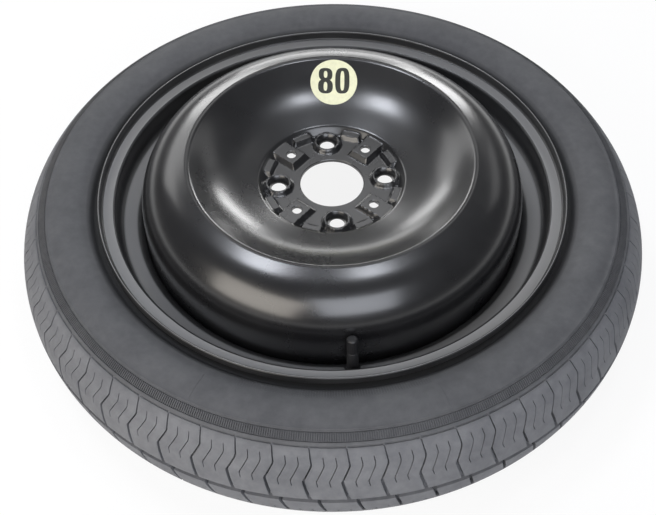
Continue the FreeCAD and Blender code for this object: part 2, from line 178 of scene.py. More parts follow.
class SpareWheelSettings(bpy.types.PropertyGroup):
    """All settings of the spare wheel."""

    tyre: PointerProperty(type=TyreSettings)
    wheel: PointerProperty(type=WheelSettings)
    valve: PointerProperty(type=ValveSettings)
    label: PointerProperty(type=LabelSettings)
    stage: PointerProperty(type=StageSettings)


def settings():
    return bpy.context.scene.spare_wheel


# Surfaces


def grid_faces(rows, columns, close_rows=True):
    """Quads between neighbouring places of a grid that is closed across its columns."""
    row = np.arange(rows if close_rows else rows - 1)[:, None]
    column = np.arange(columns)[None, :]
    below, beside = (row + 1) % rows, (column + 1) % columns
    corners = [row * columns + column, row * columns + beside, below * columns + beside, below * columns + column]
    return np.stack(np.broadcast_arrays(*corners), -1).reshape(-1, 4)


def turned(radius, height, angle):
    """Points of a surface of revolution: (radius cos angle, radius sin angle, height)."""
    return np.stack(np.broadcast_arrays(radius * np.cos(angle), radius * np.sin(angle), height), -1)


def bent_line(corners, offset=0.0, arc_step=9.0, longest=6.0):
    """Line through (radius, height, bend) corners, moved to its left by offset.

    Each corner becomes an arc of its bend's radius, tangent to both runs, and long runs are divided evenly.
    """
    spots = np.array([corner[:2] for corner in corners], float)
    runs = np.diff(spots, axis=0)
    reach = np.hypot(*runs.T)
    ways = runs / reach[:, None]
    left = np.stack([-ways[:, 1], ways[:, 0]], 1)
    turn = np.arctan2(ways[:-1, 0] * ways[1:, 1] - ways[:-1, 1] * ways[1:, 0], (ways[:-1] * ways[1:]).sum(1))
    slope = np.tan(np.abs(turn) / 2)
    taken = np.concatenate([[0.0], np.array([corner[2] for corner in corners[1:-1]]) * slope, [0.0]])
    for k in range(len(runs)):
        taken[k : k + 2] *= min(1.0, 0.98 * reach[k] / max(taken[k] + taken[k + 1], 1e-9))
    parts = []
    for k in range(len(runs)):
        count = max(1, math.ceil((reach[k] - taken[k] - taken[k + 1]) / longest))
        share = np.linspace(taken[k], reach[k] - taken[k + 1], count + 1)[:, None]
        parts.append(spots[k] + ways[k] * share + left[k] * offset)
        if k < len(turn) and slope[k] > 1e-9:
            side = np.sign(turn[k])
            bend = taken[k + 1] / slope[k]
            centre = spots[k + 1] - ways[k] * taken[k + 1] + left[k] * side * bend
            swing = np.linspace(0, turn[k], max(2, math.ceil(math.degrees(abs(turn[k])) / arc_step)) + 1)[1:-1]
            spoke = -left[k] * side * (bend - side * offset)
            parts.append(
                centre
                + np.stack(
                    [
                        spoke[0] * np.cos(swing) - spoke[1] * np.sin(swing),
                        spoke[0] * np.sin(swing) + spoke[1] * np.cos(swing),
                    ],
                    1,
                )
            )
    return np.concatenate(parts)


def smooth_max(first, second, blend):
    """The larger of two heights, with a parabolic fillet where they differ by less than blend."""
    near = np.maximum(blend - np.abs(first - second), 0) / blend
    return np.maximum(first, second) + near**2 * blend / 4


def block_edge(rows, columns):
    """Places round the edge of a block of a grid, in order, as rows and columns."""
    row = [rows[0]] * (len(columns) - 1) + list(rows[:-1])
    row += [rows[-1]] * (len(columns) - 1) + list(rows[:0:-1])
    column = list(columns[:-1]) + [columns[-1]] * (len(rows) - 1)
    column += list(columns[:0:-1]) + [columns[0]] * (len(rows) - 1)
    return np.array(row), np.array(column)


def pierced(points, holes):
    """Vertices and faces of a grid closed both ways, with holes from one block of it to another.

    Each hole is (front rows, back rows, columns, rings): the faces inside both blocks are left out, and rings of points
    lead from the front block's edge down through the hole to the back block's edge.
    """
    rows, columns = points.shape[:2]
    keep = np.ones((rows, columns), bool)
    vertices = [points.reshape(-1, 3)]
    faces = []
    total = rows * columns
    for front, back, span, rings in holes:
        for block in (front, back):
            inner = np.ix_(range(min(block), max(block)), [c % columns for c in span[:-1]])
            keep[inner] = False
        row, column = block_edge(front, span)
        front_edge = row * columns + column % columns
        row, column = block_edge(back, span)
        back_edge = row * columns + column % columns
        count = len(front_edge)
        ring_numbers = total + np.arange(len(rings) * count).reshape(len(rings), count)
        chain = np.concatenate([front_edge[None], ring_numbers, back_edge[None]])
        beside = np.roll(chain, -1, axis=1)
        quads = np.stack([chain[:-1], beside[:-1], beside[1:], chain[1:]], -1)
        faces.append(quads.reshape(-1, 4))
        vertices.append(rings.reshape(-1, 3))
        total += rings.shape[0] * count
    faces.append(grid_faces(rows, columns)[keep.ravel()])
    vertices, faces = np.concatenate(vertices), np.concatenate(faces)
    used, numbers = np.unique(faces, return_inverse=True)
    return vertices[used], numbers.reshape(-1, 4)


def make_piece(name, vertices, faces, material, body="wheel", replaces=(), slot=None, sharp=38.0):
    """A closed mesh from points in millimetres above the tyre's middle plane, riding on a body of the frame."""
    mesh = bpy.data.meshes.new(name)
    metres = (np.asarray(vertices, float).reshape(-1, 3) - (0.0, 0.0, HUB_PLANE)) * 0.001
    mesh.from_pydata(metres.tolist(), [], np.asarray(faces).tolist())
    shell = bmesh.new()
    shell.from_mesh(mesh)
    bmesh.ops.remove_doubles(shell, verts=shell.verts, dist=1e-7)
    bmesh.ops.recalc_face_normals(shell, faces=shell.faces)
    shell.to_mesh(mesh)
    shell.free()
    mesh.polygons.foreach_set("use_smooth", np.ones(len(mesh.polygons), bool))
    mesh.set_sharp_from_angle(angle=math.radians(sharp))
    mesh.materials.append(material)
    piece = bpy.data.objects.new(name, mesh)
    bpy.context.scene.collection.objects.link(piece)
    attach(piece, body)
    if replaces:
        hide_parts(*replaces)
    return piece


def joined(parts):
    """Several (vertices, faces) as one."""
    starts = np.cumsum([0] + [len(vertices) for vertices, faces in parts[:-1]])
    return (
        np.concatenate([vertices for vertices, faces in parts]),
        np.concatenate([faces + start for (vertices, faces), start in zip(parts, starts)]),
    )


# Tyre


def three_point_height(radius, first, middle, last):
    """Height at a radius on the upper side of the circle through three (radius, height) points."""
    a = np.array([np.subtract(middle, first), np.subtract(last, first)], float) * 2
    b = np.array([np.dot(middle, middle) - np.dot(first, first), np.dot(last, last) - np.dot(first, first)])
    centre = np.linalg.solve(a, b)
    bend = math.dist(centre, first)
    return centre[1] + np.sqrt(bend**2 - (radius - centre[0]) ** 2)


def tyre_skin(radius):
    """Height of the plain upper sidewall: two arcs that meet at the widest place, then the shoulder's arc."""
    inner = 62.5 - 48.77 + np.sqrt(48.77**2 - np.minimum(np.abs(radius - 245.0), 48.0) ** 2)
    outer = 62.5 - 36.82 + np.sqrt(36.82**2 - np.minimum(np.abs(radius - 245.0), 36.0) ** 2)
    shoulder = three_point_height(np.clip(radius, 263.0, 272.0), (263.0, 57.8), (268.1, 54.5), (272.0, 50.0))
    return np.where(radius <= 245.0, inner, np.where(radius <= 263.0, outer, shoulder))


def crown(radius, height):
    """Radius of the tread at a height: a circle that falls by 19 mm from the middle to the shoulder."""
    bend = (19.0**2 + 50.0**2) / 38.0
    return radius - bend + np.sqrt(bend**2 - height**2)


SIDEWALL_STEPS = np.array(
    [
        (222.5, -0.6), (223.6, -0.5), (224.2, -0.35), (225.0, -0.3), (225.8, -0.35), (228.6, -0.3), (231.0, -0.1),
        (233.0, 0.0), (237.0, 0.0), (241.0, 0.0), (245.0, 0.0), (249.0, 0.0), (253.0, 0.0), (256.5, 0.0),
        (259.4, 0.0), (259.8, 0.35), (260.6, 0.35), (261.0, -0.2), (261.9, -0.2), (262.2, -1.2), (265.3, -1.2),
        (268.6, -1.2), (268.9, -0.1), (270.7, -0.1), (271.0, -1.3), (271.7, -1.3), (271.9, -0.05),
    ]
)
TREAD_HEIGHTS = np.array(
    [49.6, 48.0, 46.0, 44.2, 43.2, 40.8, 38.9, 37.1, 34.0, 30.5, 27.0, 24.9, 23.1, 21.0, 19.4, 18.4, 14.5, 10.5, 6.5, 3.6, 2.7]
)


def tread_warp(height):
    """Sideways swing of the tread's cross grooves at a height: a zigzag with two kinks."""
    return np.interp(height, [2.4, 24.0, 38.0, 54.5], [2.4, -3.2, 3.3, 0.0])


def tyre_rows():
    """Half section from the bead's toe to the middle groove: radius, height and how much each row is tread."""
    radius = settings().tyre.radius * 1000
    heel = np.radians(np.linspace(180.0, 90.0, 6))
    bead = [(201.46, 33.8), (202.0, 39.5)]
    bead += list(zip(208.87 + 6.5 * np.cos(heel), 44.15 + 6.5 * np.sin(heel)))
    bead += [(213.0, 50.9), (216.6, 51.2), (218.6, 51.6), (219.4, 52.4), (220.4, 53.8), (221.4, 55.2)]
    side = SIDEWALL_STEPS[:, 0]
    height = tyre_skin(side)
    along = np.stack([np.ones_like(side), tyre_skin(side + 0.05) - tyre_skin(side - 0.05)], 1)
    along[:, 0] = 0.1
    normal = np.stack([-along[:, 1], along[:, 0]], 1) / np.hypot(*along.T)[:, None]
    wall = np.stack([side, height], 1) + normal * SIDEWALL_STEPS[:, 1:]
    tread = np.stack([crown(radius, TREAD_HEIGHTS), TREAD_HEIGHTS], 1)
    groove = np.array([(radius - settings().tyre.groove_depth * 1000, 2.3)])
    return np.array(bead), wall, tread, groove


def tyre_surface():
    """Tyre as a grid of section rows and columns round the tread.

    Angle = pitch number and place in the pitch, plus the zigzag's swing over the radius on tread rows. Columns come in
    sets at the edges and floors of a cross groove and of two fine cuts, so that depth is set by whole columns.
    """
    tyre = settings().tyre
    bead, wall, tread, groove = tyre_rows()
    pitch = 2 * math.pi * tyre.radius * 1000 / tyre.pitches
    upper = np.concatenate([bead, wall, tread, groove])
    first_tread = len(bead) + len(wall)
    rows = len(upper)
    swing = np.zeros(rows)
    swing[first_tread:] = tread_warp(upper[first_tread:, 1])
    wide = np.zeros(rows)
    wide[:] = np.interp(upper[:, 1], [2.4, 23.0, 25.0, 50.0], [3.0, 2.6, 1.7, 1.2])
    kind = np.array([-1, -2, 2, 1, 0, 0, 0, 0, 0, 0, 0])
    centre = np.array([0, 0, 0, 0, 0, 1, 1, 1, 2, 2, 2]) * pitch / 3
    nudge = np.array([0, 0, 0, 0, 2.6, -0.42, 0.0, 0.42, -0.42, 0.0, 0.42])
    edge = np.where(np.abs(kind) == 1, wide[:, None] / 2, np.where(np.abs(kind) == 2, wide[:, None] / 2 - 0.22, 0.0))
    place = centre + nudge + np.sign(kind) * edge
    cross = np.zeros(rows)
    cross[first_tread:-1] = np.interp(upper[first_tread:-1, 1], [2.4, 24.0, 44.0, 49.7], [1.0, 1.0, 0.6, 0.25])
    cut = np.zeros(rows)
    cut[first_tread:-1] = (upper[first_tread:-1, 1] < 43.5) & (upper[first_tread:-1, 1] > 19.0)
    depth = cross[:, None] * (np.abs(kind) == 2) * tyre.groove_depth * 1000
    depth = depth + cut[:, None] * ((centre > 0) & (nudge == 0.0)) * tyre.sipe_depth * 1000
    depth[-1] = 0.0
    rise = np.zeros((rows, 2))
    rise[first_tread:] = upper[first_tread:] - (tyre.radius * 1000 - (19.0**2 + 50.0**2) / 38.0, 0.0)
    rise[first_tread:] /= np.hypot(*rise[first_tread:].T)[:, None]
    # The shoulder line stops for a moment behind each cross groove
    line_rows = first_tread - np.array([3, 2])
    rise[line_rows] = (0.73, 0.68)
    depth[line_rows[:, None], [2, 3]] = -1.2

    def half(turn, side):
        number = np.arange(tyre.pitches)[:, None, None] * pitch
        angle = (number + place + side * swing[:, None] + turn * pitch) / (tyre.radius * 1000)
        radius = upper[:, :1] - rise[:, :1] * depth
        height = side * (upper[:, 1:] - rise[:, 1:] * depth)
        shape = (tyre.pitches, rows, len(kind))
        flat = [np.broadcast_to(value, shape).transpose(1, 0, 2).reshape(rows, -1) for value in (radius, height, angle)]
        return np.stack(flat, -1)

    inside = np.array(
        [(213.8, -39.8), (224.0, -51.0), (236.0, -56.4), (248.0, -56.6), (258.0, -49.0), (267.0, -37.0), (275.0, -20.0)]
    )
    inside = np.concatenate([inside, [(280.0, 0.0)], inside[::-1] * (1, -1)])
    share = np.linspace(1, 0, len(inside) + 2)[1:-1, None]
    top, bottom = half(0.0, 1), half(0.38, -1)[::-1]
    inner = np.empty((len(inside), top.shape[1], 3))
    inner[..., :2] = inside[:, None, :]
    inner[..., 2] = bottom[-1, :, 2] * share + top[0, :, 2] * (1 - share)
    section = np.concatenate([top, bottom, inner])
    points = turned(section[..., 0], section[..., 1], section[..., 2])
    return points.reshape(-1, 3), grid_faces(*points.shape[:2])


def sidewall_bars(inner, outer, angle, width, rise):
    """Thin radial bars on the upper sidewall at the given angles, each a closed ridge that follows the skin."""
    radius = np.linspace(inner, outer, 9)[:, None]
    side = np.array([-0.5, -0.3, 0.3, 0.5]) * width
    lift = np.array([-0.9, rise, rise, -0.9])
    height = tyre_skin(radius) + lift
    points = turned(radius, height, np.asarray(angle)[:, None, None] + side / radius)
    count, rows = points.shape[:2]
    one = np.concatenate([grid_faces(rows, 4, close_rows=False), [[0, 1, 2, 3], 4 * (rows - 1) + np.arange(4)]])
    faces = one[None] + 4 * rows * np.arange(count)[:, None, None]
    return points.reshape(-1, 3), faces.reshape(-1, 4)


def panel_ridges():
    """Fine radial lines beside the rim, over 40 degrees of the sidewall, and the two lines that end the plain panel."""
    middle = -math.pi / 2 + settings().stage.turn
    fine = middle + np.radians(np.arange(-20.0, 20.01, 0.55))
    ends = middle + np.radians([-27.0, 20.5])
    return joined([sidewall_bars(223.2, 231.5, fine, 1.1, 0.1), sidewall_bars(232.5, 259.0, ends, 0.9, 0.25)])


def rib_bands():
    """Two rings of fine radial ribs in the shoulder bands: height follows a square wave round the ring."""
    count = settings().tyre.ribs
    radius = np.array([262.35, 262.6, 265.4, 268.3, 268.5, 268.3, 265.4, 262.6])
    lift = np.array([-1.15, 0.0, 0.0, 0.0, -1.15, -1.4, -1.4, -1.4])
    wave = np.where(np.arange(4 * count) % 4 < 2, -0.1, -1.1)
    skin = tyre_skin(radius)
    lean = np.arctan2(-(tyre_skin(radius + 0.05) - tyre_skin(radius - 0.05)), 0.1)
    out = np.where((lift == 0.0)[:, None], wave[None, :], lift[:, None])
    phase = np.array([0.0, 0.72, 0.86, 1.58])
    angle = 2 * math.pi * (np.arange(count)[:, None] + phase / 1.72).ravel() / count
    section_radius = radius[:, None] + out * np.sin(lean)[:, None]
    section_height = skin[:, None] + out * np.cos(lean)[:, None]
    upper = turned(section_radius, section_height, angle)
    lower = upper * (1, -1, -1)
    faces = grid_faces(*upper.shape[:2])
    return joined([(upper.reshape(-1, 3), faces), (lower.reshape(-1, 3), faces)])


# Rim and disc


def rim_corners():
    """Middle line of the rim's sheet, from the outer lip to the inner lip."""
    half = RIM_SHEET / 2
    upper = [
        (SEAT_RADIUS + 12.0 - half, HALF_RIM_WIDTH + 10.8, 0.0),
        (SEAT_RADIUS + 12.0 - half, HALF_RIM_WIDTH + half, 4.0),
        (SEAT_RADIUS - 1.2 - half, HALF_RIM_WIDTH + half, 0.5 + half),
        (LEDGE_RADIUS - half, LEDGE_HEIGHT, 7.0),
        (WELL_RADIUS - half, LEDGE_HEIGHT - (LEDGE_RADIUS - WELL_RADIUS) * math.tan(VALVE_LEAN), 7.5),
    ]
    return upper + [(radius, -height, bend) for radius, height, bend in reversed(upper)]


def valve_frame(points):
    """Points made along +Z at the origin, moved to the valve's place at -Y and leaning in square to the ledge."""
    x, y, z = points[..., 0], points[..., 1], points[..., 2]
    inward = z * math.sin(VALVE_LEAN) - y * math.cos(VALVE_LEAN)
    height = z * math.cos(VALVE_LEAN) + y * math.sin(VALVE_LEAN)
    return np.stack([x, inward - VALVE_RADIUS, height + VALVE_BASE_HEIGHT], -1)


def rim_surface():
    """Rim: both sides of the bent sheet with rounded lips, turned about the axle line and pierced for the valve."""
    half = RIM_SHEET / 2
    corners = rim_corners()
    air = bent_line(corners, -half, longest=1.6)
    tyre_side = bent_line(corners, half, longest=1.6)
    if len(air) != len(tyre_side):
        raise ValueError("the two sides of the rim have different rows")
    swing = np.linspace(0, math.pi, 7)[1:-1]
    lip = np.stack([corners[0][0] - half * np.cos(swing), corners[0][1] - half + half * np.sin(swing)], 1)
    air[0, 1] = tyre_side[0, 1] = corners[0][1] - half
    air[-1, 1] = tyre_side[-1, 1] = -corners[0][1] + half
    section = np.concatenate([air, lip[:] * (1, -1), tyre_side[::-1], lip[::-1]])
    columns = 300
    angle = 2 * math.pi * np.arange(columns) / columns
    points = turned(section[:, :1], section[:, 1:], angle)
    ledge = np.flatnonzero((np.abs(air[:, 0] - VALVE_RADIUS) < 6.7) & (air[:, 1] > 25.0) & (air[:, 1] < 36.0))
    ledge = ledge[np.argsort(air[ledge, 0])]
    back = len(section) - len(lip) - 1 - ledge
    span = np.arange(223, 228)
    row, column = block_edge(list(ledge), list(span))
    front_edge = points[row, column]
    back_edge = points[block_edge(list(back), list(span))[0], column]
    spin = np.arctan2(front_edge[:, 1] + VALVE_RADIUS, front_edge[:, 0])
    circle = np.stack([5.75 * np.cos(spin), 5.75 * np.sin(spin), np.zeros_like(spin)], 1)
    top, bottom = valve_frame(circle), valve_frame(circle - (0, 0, RIM_SHEET))
    rings = np.stack([front_edge * 0.5 + top * 0.5, top, bottom, bottom * 0.5 + back_edge * 0.5])
    return pierced(points, [(list(ledge), list(back), list(span), rings)])


def disc_corners():
    """Outer surface of the pressed disc, from the skirt's edge to the hub's bore."""
    ridge_height = HUB_FLOOR + 38.0
    return [
        (SKIRT_RADIUS, -12.0, 0.0),
        (SKIRT_RADIUS, ridge_height - CROWN_WIDTH * math.tan(math.radians(15.0)), 48.0),
        (RIDGE_RADIUS, ridge_height, 6.0),
        (103.0, HUB_FLOOR + 17.5, 90.0),
        (67.0, HUB_FLOOR + 7.0, 3.8),
        (60.0, HUB_FLOOR, 3.8),
        (settings().wheel.bore * 1000, HUB_FLOOR, 0.0),
    ]


def spokes(count, start):
    return [start + 2 * math.pi * k / count for k in range(count)]


BOLT_ANGLES = spokes(4, 0.0)
PIN_ANGLES = spokes(4, math.pi / 4)
LAND_ANGLES = spokes(8, math.pi / 8)


def hub_front(x, y, line):
    """Outer height near the hub: the turned section, raised by the bosses' cones, the pads and the lands between them."""
    height = np.interp(np.hypot(x, y), line[::-1, 0], line[::-1, 1])
    for angle in BOLT_ANGLES:
        away = np.hypot(x - BOLT_CIRCLE_RADIUS * math.cos(angle), y - BOLT_CIRCLE_RADIUS * math.sin(angle))
        height = smooth_max(height, HUB_FLOOR + 4.5 - np.maximum(away - 11.55, 0) * 1.953, 1.0)
    for angle in PIN_ANGLES:
        out = x * math.cos(angle) + y * math.sin(angle)
        aside = np.abs(y * math.cos(angle) - x * math.sin(angle))
        beyond = np.maximum(np.maximum(aside - 8.7, 0.65 * (40.0 - out)), 0)
        height = smooth_max(height, HUB_FLOOR + 5.0 - beyond * 1.9, 1.0)
    for angle in LAND_ANGLES:
        out = x * math.cos(angle) + y * math.sin(angle)
        aside = np.abs(y * math.cos(angle) - x * math.sin(angle))
        beyond = np.maximum(np.maximum(aside - 8.0, 57.5 - out), 0)
        height = smooth_max(height, HUB_FLOOR + 4.2 - beyond * 1.7, 0.8)
    return height


def hub_back(x, y, line):
    """Inner height near the hub: the turned section, with a hollow under each pad."""
    height = np.interp(np.hypot(x, y), line[::-1, 0], line[::-1, 1])
    for angle in PIN_ANGLES:
        out = x * math.cos(angle) + y * math.sin(angle)
        aside = np.abs(y * math.cos(angle) - x * math.sin(angle))
        beyond = np.maximum(np.maximum(np.maximum(aside - 5.5, 42.0 - out), out - 62.1), 0)
        height = smooth_max(height, HUB_FLOOR + 1.5 - beyond * 2.596, 0.5)
    return height


def hole_rings(front_edge, back_edge, centre, wall, front, back):
    """Rings from a block's edge to a round hole on the front, down its wall, and out again on the back.

    wall is the hole's section as (radius, height), from the front to the back.
    """
    spin = np.arctan2(front_edge[:, 1] - centre[1], front_edge[:, 0] - centre[0])

    def circle(radius):
        return centre[0] + radius * np.cos(spin), centre[1] + radius * np.sin(spin)

    def between(edge, radius, share, height):
        x, y = circle(radius)
        x, y = edge[:, 0] * (1 - share) + x * share, edge[:, 1] * (1 - share) + y * share
        return np.stack([x, y, height(x, y)], 1)

    rings = [between(front_edge, wall[0][0], share, front) for share in (0.35, 0.7)]
    for radius, height in wall:
        x, y = circle(radius)
        rings.append(np.stack([x, y, np.full_like(x, height)], 1))
    rings += [between(back_edge, wall[-1][0], share, back) for share in (0.7, 0.35)]
    return np.stack(rings)


def disc_surface():
    """Pressed disc: outer and inner surface as one closed grid of radius and angle, pierced by bolt and pin holes."""
    wheel = settings().wheel
    corners = disc_corners()
    outer = bent_line(corners, 0.0, arc_step=5.0, longest=5.0)
    inner = bent_line(corners, DISC_SHEET, arc_step=8.0, longest=6.0)
    bore = wheel.bore * 1000
    hub = np.arange(73.0, bore + 1.0, -0.75)
    crest = outer[:, 1].argmax()
    front_line = outer[crest:]
    back_line = inner[inner[:, 1].argmax() :]
    rows = [spot for spot in outer[: crest + 1]] + [spot for spot in front_line[1:] if spot[0] > 74.0]
    front_hub = len(rows)
    rows += [(radius, None) for radius in hub] + [(bore + 0.5, HUB_FLOOR), (bore, HUB_FLOOR - 0.5)]
    rows += [(bore, HUB_PLANE + 0.5), (bore + 0.5, HUB_PLANE)]
    back_hub = len(rows)
    rows += [(radius, None) for radius in hub[::-1]]
    back_rest = [spot for spot in inner[::-1]]
    rows += [spot for spot in back_rest[: len(back_line)] if spot[0] > 74.0] + back_rest[len(back_line) :]
    columns = 360
    angle = 2 * math.pi * np.arange(columns) / columns
    radius = np.array([row[0] for row in rows])[:, None]
    height = np.array([row[1] if row[1] is not None else 0.0 for row in rows])[:, None] + np.zeros(columns)
    x, y = radius * np.cos(angle), radius * np.sin(angle)

    def front(x, y):
        return hub_front(x, y, front_line)

    def back(x, y):
        return hub_back(x, y, back_line)

    span = slice(front_hub, front_hub + len(hub))
    height[span] = front(x[span], y[span])
    span = slice(back_hub, back_hub + len(hub))
    height[span] = back(x[span], y[span])
    points = np.stack([x, y, height], -1)
    bolt, pin = wheel.bolt_hole * 1000, wheel.pin_hole * 1000
    top = HUB_FLOOR + 4.5
    seat_floor = top - (9.75 - bolt) / math.tan(math.radians(30.0))
    bolt_wall = [(10.3, top), (9.9, top - 0.12), (9.6, top - 0.42), (bolt, seat_floor), (bolt, HUB_PLANE + 0.4), (bolt + 0.4, HUB_PLANE)]
    pad = HUB_FLOOR + 5.0
    pin_wall = [(pin + 0.5, pad), (pin, pad - 0.5), (pin, pad - DISC_SHEET + 0.3), (pin + 0.3, pad - DISC_SHEET)]
    holes = []
    for angles, reach, sweep, wall in ((BOLT_ANGLES, 11.5, 14, bolt_wall), (PIN_ANGLES, 6.0, 7, pin_wall)):
        near = np.flatnonzero(np.abs(hub[::-1] - BOLT_CIRCLE_RADIUS) < reach)
        back_rows = list(back_hub + near)
        front_rows = list(front_hub + len(hub) - 1 - near)
        for turn in angles:
            middle = round(math.degrees(turn))
            columns_used = list(range(middle - sweep, middle + sweep + 1))
            front_edge = points[tuple(block_edge(front_rows, [c % columns for c in columns_used]))]
            back_edge = points[tuple(block_edge(back_rows, [c % columns for c in columns_used]))]
            centre = (BOLT_CIRCLE_RADIUS * math.cos(turn), BOLT_CIRCLE_RADIUS * math.sin(turn))
            rings = hole_rings(front_edge, back_edge, centre, wall, front, back)
            holes.append((front_rows, back_rows, columns_used, rings))
    return pierced(points, holes)


def weld_surface():
    """Four fillet welds: a bulged triangle carried round the well, swelling and shrinking in ripples, closed at its ends."""
    beads = []
    inner_radius = WELL_RADIUS - RIM_SHEET
    along = np.linspace(-23.0, 23.0, 185)
    ripple = 1.0 + 0.10 * np.abs(np.sin(np.arange(185) * math.pi / 4)) - 0.05
    taper = np.clip((23.0 - np.abs(along)) / 1.2, 0.02, 1.0) ** 0.5
    size = 3.1 * ripple * taper
    round_section = np.radians(np.linspace(0.0, 90.0, 9))
    bulge = 0.72 + 0.28 * np.abs(np.cos(2 * round_section))
    inward = np.concatenate([[0.0], np.cos(round_section) * bulge])
    down = np.concatenate([[0.0], np.sin(round_section) * bulge])
    for start in spokes(4, 0.0):
        radius = inner_radius - size[:, None] * inward
        height = -12.0 - size[:, None] * down
        points = turned(radius, height, start + np.radians(along)[:, None])
        count = len(inward)
        faces = grid_faces(len(along), count, close_rows=False)
        middle = np.array([points[0].mean(0), points[-1].mean(0)])
        place = np.arange(count)
        total = points.shape[0] * count
        fan = np.stack([place, (place + 1) % count, np.full(count, total), np.full(count, total)], -1)
        far = np.stack([(place + 1) % count, place], -1) + total - count
        far = np.concatenate([far, np.full((count, 2), total + 1)], 1)
        beads.append((np.concatenate([points.reshape(-1, 3), middle]), np.concatenate([faces, fan, far])))
    return joined(beads)


# Valve and label


def lathe(section, columns, shape=None):
    """A (radius, height) section turned about +Z, with its ends closed on the axis; shape may change radius by angle."""
    section = np.array(section, float)
    angle = 2 * math.pi * np.arange(columns) / columns
    radius = section[:, :1] + np.zeros(columns)
    if shape is not None:
        radius = shape(section[:, :1], section[:, 1:], angle[None, :])
    points = turned(radius, section[:, 1:], angle)
    return valve_frame(points).reshape(-1, 3), grid_faces(len(section), columns)


def rounded(corners, step=12.0):
    """A section of straight runs with rounded corners, from (radius, height, bend)."""
    return bent_line(corners, 0.0, arc_step=step, longest=4.0)


def valve_body_surface():
    """Rubber body: bulb under the rim, waist in the hole, collar with two rings and a tapered neck, turned."""
    waist = 5.6
    outside = rounded(
        [
            (2.92, -11.55, 0.0), (5.2, -11.55, 0.8), (8.2, -5.55, 1.4), (5.8, -2.6, 0.1), (waist, -2.5, 0.02),
            (waist, 0.12, 0.02), (6.2, 0.15, 0.4), (6.2, 2.15, 0.8), (5.3, 4.0, 1.0), (5.25, 5.0, 0.4),
            (5.5, 5.4, 0.2), (5.5, 6.2, 0.2), (5.15, 6.6, 0.3), (4.7, 22.0, 0.6), (2.92, 22.0, 0.0),
        ]
    )
    inside = np.array([(2.92, 15.0), (2.92, 6.0), (2.92, -3.0)])
    return lathe(np.concatenate([outside, inside]), 72)


def valve_stem_surface():
    """Brass tube with a rolled thread at its top: the radius rises and falls with height less angle over a turn."""
    thread = np.arange(23.4, 33.6, 0.1)
    outside = [(1.9, -11.05), (2.9, -11.05), (2.9, 0.0), (2.9, 22.02), (3.6, 23.0)]
    outside += [(3.85, height) for height in thread]
    outside += [(3.5, 34.2), (3.2, 34.5), (2.65, 34.5), (2.65, 22.5), (1.9, 20.9)]

    def shape(radius, height, angle):
        climb = (height / 0.8 - angle / (2 * math.pi)) % 1.0
        wave = 0.45 * np.abs(2 * climb - 1)
        return radius - np.where((radius > 3.8) & (height < 33.7), wave, 0.0)

    return lathe(outside, 48, shape)


def valve_cap_surface():
    """Cap: a cup whose outer wall is drawn in by round flutes, radius less depth times a lobe of the angle."""
    flutes = settings().valve.flutes
    section = rounded(
        [
            (3.95, 22.3, 0.0), (4.8, 22.3, 0.2), (4.8, 23.4, 0.2), (4.8, 35.6, 0.9), (3.7, 36.7, 0.5), (0.0, 36.7, 0.0),
        ]
    )
    section = np.concatenate([section, [(0.0, 35.1), (3.95, 35.1)], [(3.95, height) for height in np.arange(34.0, 23.0, -2.0)]])

    def shape(radius, height, angle):
        lobe = np.maximum(0.0, np.cos(flutes * angle)) ** 2
        fade = np.clip((height - 23.0) / 0.5, 0, 1) * np.clip((35.0 - height) / 0.8, 0, 1)
        return radius - np.where(radius > 4.2, 0.34 * lobe * fade, 0.0)

    return lathe(section, flutes * 8, shape)


def core_spring_surface():
    """Round wire round a helix: (coil cos turn, coil sin turn, foot + rise) plus a ring of the wire's radius, closed at both ends."""
    share = np.linspace(0.0, 1.0, 145)[:, None]
    wire = 0.14 * np.where((share > 0) & (share < 1), 1.0, 0.0)
    ring = 2 * math.pi * np.arange(10) / 10
    share = np.clip(share, share[1], share[-2])
    turn = 2 * math.pi * SPRING_TURNS * share
    points = turned(0.8 + wire * np.cos(ring), SPRING_FOOT + 0.16 + 8.17 * share + wire * np.sin(ring), turn)
    return valve_frame(points).reshape(-1, 3), grid_faces(*points.shape[:2], close_rows=False)


def on_dish(across, up, lift):
    """Label coordinates laid on the dish: up is measured along the turned section, and lift square to it."""
    line = bent_line(disc_corners(), 0.0, arc_step=2.0, longest=2.0)
    line = line[line[:, 1].argmax() :][::-1]
    along = np.concatenate([[0.0], np.cumsum(np.hypot(*np.diff(line, axis=0).T))])
    out = np.interp(np.interp(LABEL_RADIUS, line[:, 0], along) + up, along, line[:, 0])
    radius = np.hypot(out, across)
    height = np.interp(radius, line[:, 0], line[:, 1])
    steep = np.arctan2(np.interp(radius + 0.5, line[:, 0], line[:, 1]) - np.interp(radius - 0.5, line[:, 0], line[:, 1]), 1.0)
    turn = LABEL_ANGLE - np.arctan2(across, out)
    return turned(radius - lift * np.sin(steep), height + lift * np.cos(steep), turn)


def label_surface():
    """Round label: a disc of rings laid on the dish, with a back 0.2 mm below."""
    radius = settings().label.radius * 1000
    rings = np.array([0.0, 0.2, 0.4, 0.6, 0.8, 0.95, 1.0]) * radius
    ring = np.concatenate([rings, [radius], rings[::-1]])
    lift = np.concatenate([np.full(len(rings) - 1, 0.35), [0.32, 0.2], np.full(len(rings), 0.15)])
    angle = 2 * math.pi * np.arange(96) / 96
    points = on_dish(ring[:, None] * np.cos(angle), ring[:, None] * np.sin(angle), lift[:, None] + np.zeros(96))
    return points.reshape(-1, 3), grid_faces(len(ring), 96)


